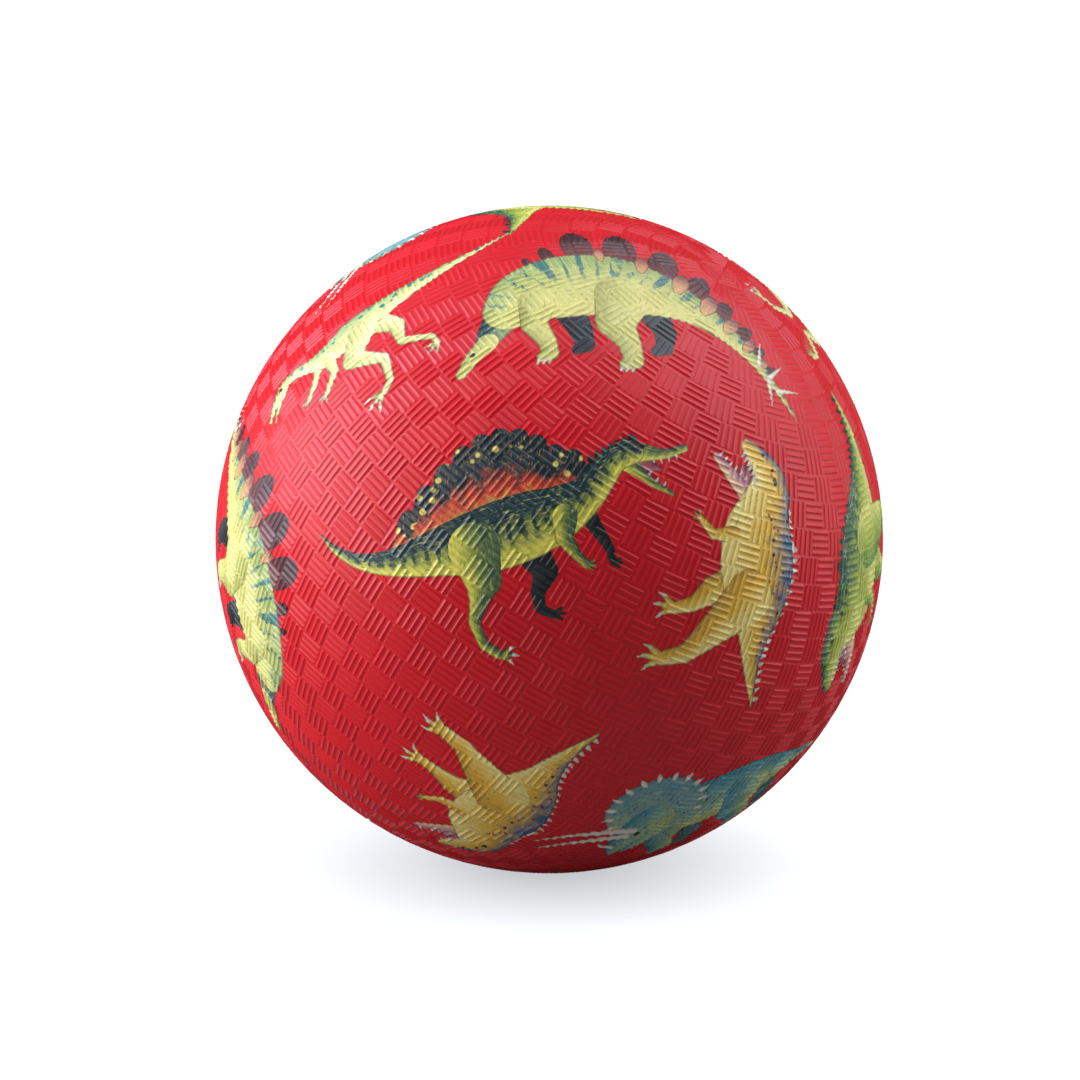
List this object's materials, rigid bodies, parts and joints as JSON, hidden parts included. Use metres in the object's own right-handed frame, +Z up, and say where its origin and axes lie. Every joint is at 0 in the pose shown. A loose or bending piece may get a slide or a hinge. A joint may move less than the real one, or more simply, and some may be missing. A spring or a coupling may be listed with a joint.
{
  "type": "playground ball",
  "caption": "Inflatable playground ball: ribbed rubber cover over a wound carcass and a bladder, with a self-sealing needle valve.",
  "frame": {"origin": "centre of the ball", "axes": "+Z up, +Y out of the ball along the valve's axis; the ball is round, so any other turn of it is only a choice"},
  "size_m": [0.178, 0.178, 0.178],
  "materials": {
    "cover_rubber": "semi-matte moulded rubber with printed figures",
    "winding_nylon": "wound nylon thread",
    "bladder_rubber": "smooth matte rubber sheet",
    "patch_rubber": "calendered rubber sheet",
    "housing_rubber": "moulded rubber",
    "insert_rubber": "soft moulded rubber",
    "print_ink": "thin satin transfer print in several colours"
  },
  "bodies": {
    "root": {"cover": "cover_rubber", "winding": "winding_nylon", "bladder": "bladder_rubber", "valve_patch": "patch_rubber", "valve_housing": "housing_rubber", "valve_insert": "insert_rubber"}
  },
  "joints": []
}
